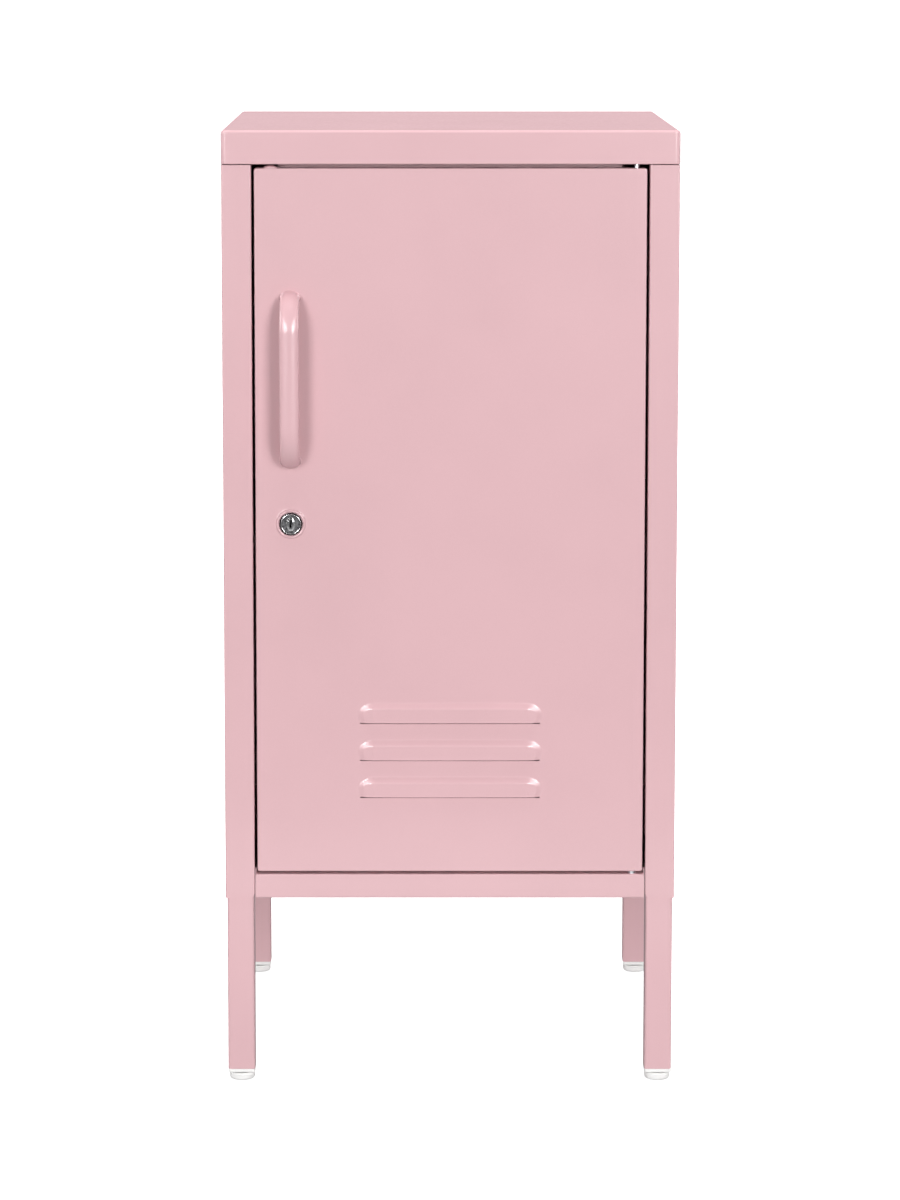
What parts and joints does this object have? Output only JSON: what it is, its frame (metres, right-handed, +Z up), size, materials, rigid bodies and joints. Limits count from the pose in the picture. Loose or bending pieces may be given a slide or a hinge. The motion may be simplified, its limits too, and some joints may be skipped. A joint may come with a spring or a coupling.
{
  "type": "locker cabinet",
  "caption": "Small single-door steel locker cabinet on square legs, with a D-pull handle, a cam lock, pressed vent louvres and levelling feet.",
  "frame": {"origin": "On the floor, at the middle of the overall box, which includes the reach of the handle.", "axes": "+Z up; the door faces -Y; +X is to the viewer's right when facing the door, the hinge side."},
  "size_m": [0.35, 0.38, 0.744],
  "materials": {
    "pink_powder_coat": "satin powder coat with a fine orange-peel texture",
    "zinc_steel": "bright zinc plating",
    "bright_chrome": "polished chrome",
    "black_zinc": "black passivated die casting",
    "dark_zinc": "dark grey die casting, slightly worn",
    "white_plastic": "moulded white plastic",
    "bush_plastic": "natural nylon",
    "catch_plastic": "moulded light plastic",
    "ferrite": "ground ferrite magnet"
  },
  "bodies": {
    "cabinet": {"back_panel": "pink_powder_coat", "back_panel_screws": "pink_powder_coat", "bottom_panel": "pink_powder_coat", "catch_housing": "catch_plastic", "catch_magnet": "ferrite", "catch_screws": "zinc_steel", "front_header": "pink_powder_coat", "hinge_washer": "zinc_steel", "left_side_panel": "pink_powder_coat", "leg_front_left": "pink_powder_coat", "leg_front_right": "pink_powder_coat", "leg_plug_front_left": "white_plastic", "leg_plug_front_right": "white_plastic", "leg_plug_rear_left": "white_plastic", "leg_plug_rear_right": "white_plastic", "leg_rear_left": "pink_powder_coat", "leg_rear_right": "pink_powder_coat", "leg_screws": "pink_powder_coat", "lower_hinge_pin": "zinc_steel", "right_side_panel": "pink_powder_coat", "shelf": "pink_powder_coat", "shelf_clips": "zinc_steel", "top_panel": "pink_powder_coat", "top_panel_screws": "zinc_steel", "upper_hinge_pin": "zinc_steel"},
    "door": {"door_panel": "pink_powder_coat", "door_stiffener": "pink_powder_coat", "door_buffer": "pink_powder_coat", "handle": "pink_powder_coat", "handle_screws": "zinc_steel", "lock_housing": "black_zinc", "lock_rim": "bright_chrome", "lock_nut": "zinc_steel", "upper_hinge_bush": "bush_plastic", "lower_hinge_bush": "bush_plastic", "strike_plate": "zinc_steel"},
    "lock_core": {"lock_plug": "dark_zinc", "lock_shutter": "bright_chrome", "lock_cam": "zinc_steel", "cam_screw": "zinc_steel"},
    "foot_front_left": {"foot_pad_front_left": "white_plastic", "foot_stud_front_left": "zinc_steel"},
    "foot_front_right": {"foot_pad_front_right": "white_plastic", "foot_stud_front_right": "zinc_steel"},
    "foot_rear_left": {"foot_pad_rear_left": "white_plastic", "foot_stud_rear_left": "zinc_steel"},
    "foot_rear_right": {"foot_pad_rear_right": "white_plastic", "foot_stud_rear_right": "zinc_steel"}
  },
  "joints": [
    {"name": "door_hinge", "type": "hinge", "parent": "cabinet", "child": "door", "pos_m": [0.1419, -0.1547, 0.44185], "axis": [0, 0, 1], "range_deg": [0, 115]},
    {"name": "lock_turn", "type": "hinge", "parent": "door", "child": "lock_core", "pos_m": [-0.1226, -0.1597, 0.4419], "axis": [0, 1, 0], "range_deg": [0, 90]},
    {"name": "foot_front_left_height", "type": "slide", "parent": "cabinet", "child": "foot_front_left", "axis": [0, 0, -1], "range_m": [0, 0.006]},
    {"name": "foot_front_right_height", "type": "slide", "parent": "cabinet", "child": "foot_front_right", "axis": [0, 0, -1], "range_m": [0, 0.006]},
    {"name": "foot_rear_left_height", "type": "slide", "parent": "cabinet", "child": "foot_rear_left", "axis": [0, 0, -1], "range_m": [0, 0.006]},
    {"name": "foot_rear_right_height", "type": "slide", "parent": "cabinet", "child": "foot_rear_right", "axis": [0, 0, -1], "range_m": [0, 0.006]}
  ]
}
